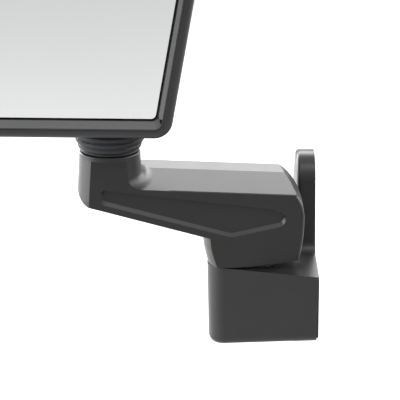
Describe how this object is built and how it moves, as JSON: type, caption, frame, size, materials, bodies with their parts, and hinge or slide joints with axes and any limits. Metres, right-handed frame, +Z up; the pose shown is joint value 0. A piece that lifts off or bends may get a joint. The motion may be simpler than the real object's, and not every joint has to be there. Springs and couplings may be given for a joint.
{
  "type": "towing mirror",
  "caption": "Door-mounted towing mirror: a tall tapered head with framed glass turns on a bellows-covered neck at the end of a folding arm, on a flanged door base.",
  "frame": {"origin": "centre of the three-bolt circle on the face that meets the door", "axes": "+Z up, +X out of the mounting face into the door, the glass faces -Y towards the rear of the vehicle, +Y is forwards"},
  "size_m": [0.3013, 0.141, 0.4509],
  "materials": {
    "grained_black_plastic": "fine satin grain",
    "satin_black_casting": "satin black paint",
    "gloss_black": "high gloss",
    "black_rubber": "slightly waxy",
    "mirror": "silvered glass",
    "black_plastic": "plain moulded",
    "zinc_steel": "zinc plated",
    "black_steel": "black oxide",
    "spring_steel": "oiled",
    "acetal": "natural acetal",
    "heater_foil": "printed film",
    "cast_aluminium": "as cast",
    "friction_pad": "pressed fibre"
  },
  "bodies": {
    "base": {"base_housing": "satin_black_casting", "base_cover": "black_plastic", "base_cover_screws": "zinc_steel", "door_gasket": "black_rubber", "door_inserts": "zinc_steel", "pivot_tube": "zinc_steel", "pivot_tube_screws": "zinc_steel", "fold_thrust_washer": "black_plastic", "fold_spring_seat": "zinc_steel", "fold_spring": "spring_steel", "fold_spring_cap": "zinc_steel", "fold_nut": "zinc_steel"},
    "arm": {"arm_casing": "satin_black_casting", "arm_rear_cover": "black_plastic", "arm_cover_screws": "zinc_steel", "fold_bush": "acetal", "neck_bush": "acetal", "neck_plug": "black_plastic", "neck_friction_washer": "friction_pad"},
    "swivel": {"swivel_knuckle": "cast_aluminium", "neck_disc_springs": "spring_steel", "neck_nut": "zinc_steel", "bellows_boot": "black_rubber"},
    "head": {"head_housing": "grained_black_plastic", "bezel": "gloss_black", "mirror_glass": "mirror", "heater_pad": "heater_foil", "glass_carrier": "black_plastic", "carrier_screws": "zinc_steel", "head_bracket": "cast_aluminium", "bracket_screws": "zinc_steel", "tilt_discs": "friction_pad", "tilt_bolt": "black_steel", "tilt_nut": "zinc_steel"}
  },
  "joints": [
    {"name": "arm_fold", "type": "hinge", "parent": "base", "child": "arm", "pos_m": [-0.0454, -0.04, -0.008], "axis": [0, 0, 1], "range_deg": [-60, 80]},
    {"name": "head_swivel", "type": "hinge", "parent": "arm", "child": "swivel", "pos_m": [-0.1452, -0.04, 0.073], "axis": [0, 0, 1], "range_deg": [-35, 35]},
    {"name": "head_tilt", "type": "hinge", "parent": "swivel", "child": "head", "pos_m": [-0.1452, -0.04, 0.099], "axis": [1, 0, 0], "range_deg": [-10, 10], "deforming": ["bellows_boot"]}
  ]
}
